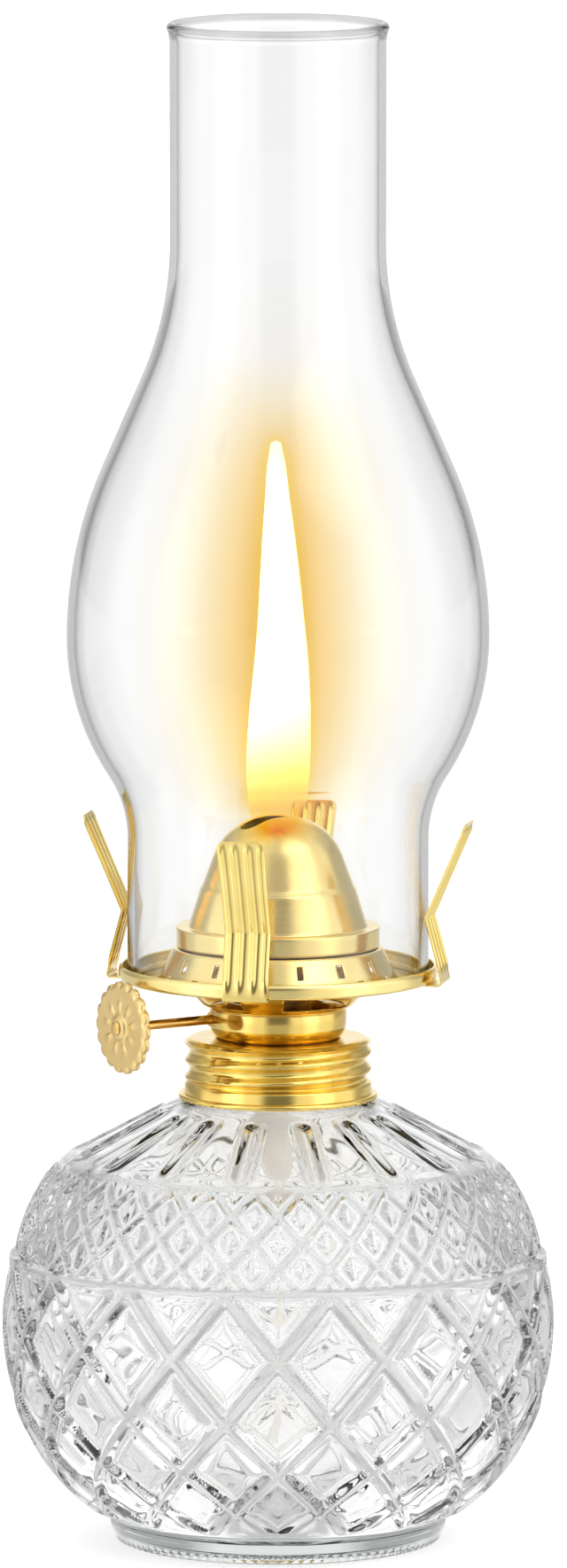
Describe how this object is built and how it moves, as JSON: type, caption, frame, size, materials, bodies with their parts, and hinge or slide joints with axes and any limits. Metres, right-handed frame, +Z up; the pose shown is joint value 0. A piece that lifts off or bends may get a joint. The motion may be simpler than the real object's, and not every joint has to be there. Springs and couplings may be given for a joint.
{
  "type": "oil lamp",
  "caption": "Glass oil lamp: pressed-glass font with a diamond lattice, brass flat-wick burner with spring prongs and thumbwheel, and a tall bulged glass chimney.",
  "frame": {"origin": "centre of the font's foot ring, on the lamp's axis, at the plane it stands on", "axes": "+Z up along the lamp's axis; X along the wick's width and the spindle, with the thumbwheel on the -X side"},
  "size_m": [0.121, 0.121, 0.335],
  "materials": {
    "pressed_glass": "clear pressed glass, slightly wavy",
    "clear_glass": "clear blown glass",
    "polished_brass": "bright polished and lacquered",
    "prong_brass": "bright rolled spring strip",
    "plain_brass": "plain, slightly dull",
    "satin_brass": "satin stamped face",
    "wick_cotton": "flat woven cotton",
    "gasket_rubber": "matte"
  },
  "bodies": {
    "font": {"font": "pressed_glass"},
    "gasket": {"collar_gasket": "gasket_rubber"},
    "burner": {"screw_collar": "polished_brass", "tube_plate": "plain_brass", "burner_drum": "polished_brass", "spindle_bush": "plain_brass", "spindle_bracket": "plain_brass", "wick_tube": "plain_brass", "air_basket": "polished_brass", "air_diffuser": "plain_brass", "gallery": "polished_brass"},
    "spindle": {"spindle": "plain_brass", "spindle_washer": "plain_brass", "sprocket_inner": "plain_brass", "sprocket_outer": "plain_brass", "thumbwheel": "satin_brass"},
    "wick": {"wick": "wick_cotton"},
    "deflector": {"deflector": "polished_brass"},
    "chimney": {"chimney": "clear_glass"},
    "prong_front": {"prong_front": "prong_brass"},
    "prong_right": {"prong_right": "prong_brass"},
    "prong_back": {"prong_back": "prong_brass"},
    "prong_left": {"prong_left": "prong_brass"}
  },
  "joints": [
    {"name": "burner_rise", "type": "slide", "parent": "font", "child": "gasket", "axis": [0, 0, 1], "range_m": [0, 0.0095]},
    {"name": "burner_unscrew", "type": "hinge", "parent": "gasket", "child": "burner", "pos_m": [0, 0, 0.105], "axis": [0, 0, 1], "range_deg": [0, 900]},
    {"name": "knob_turn", "type": "hinge", "parent": "burner", "child": "spindle", "pos_m": [0, 0.0046, 0.116], "axis": [-1, 0, 0], "range_deg": [-184, 64]},
    {"name": "wick_feed", "type": "slide", "parent": "burner", "child": "wick", "axis": [0, 0, 1], "range_m": [-0.0104, 0.0035]},
    {"name": "deflector_lift", "type": "slide", "parent": "burner", "child": "deflector", "axis": [0, 0, 1], "range_m": [0, 0.035]},
    {"name": "chimney_lift", "type": "slide", "parent": "burner", "child": "chimney", "axis": [0, 0, 1], "range_m": [0, 0.045]},
    {"name": "prong_front_flex", "type": "hinge", "parent": "burner", "child": "prong_front", "pos_m": [-0.02298, -0.02298, 0.1244], "axis": [0.7071, -0.7071, 0], "range_deg": [0, 8], "stiffness_Nm_per_rad": 0.05},
    {"name": "prong_right_flex", "type": "hinge", "parent": "burner", "child": "prong_right", "pos_m": [0.02298, -0.02298, 0.1244], "axis": [0.7071, 0.7071, 0], "range_deg": [0, 8], "stiffness_Nm_per_rad": 0.05},
    {"name": "prong_back_flex", "type": "hinge", "parent": "burner", "child": "prong_back", "pos_m": [0.02298, 0.02298, 0.1244], "axis": [-0.7071, 0.7071, 0], "range_deg": [0, 8], "stiffness_Nm_per_rad": 0.05},
    {"name": "prong_left_flex", "type": "hinge", "parent": "burner", "child": "prong_left", "pos_m": [-0.02298, 0.02298, 0.1244], "axis": [-0.7071, -0.7071, 0], "range_deg": [0, 8], "stiffness_Nm_per_rad": 0.05}
  ],
  "couplings": [
    {"joint": "burner_rise", "follows": "burner_unscrew", "m_per_rad": 0.00059683},
    {"joint": "knob_turn", "follows": "wick_feed", "rad_per_m": 303.03}
  ]
}
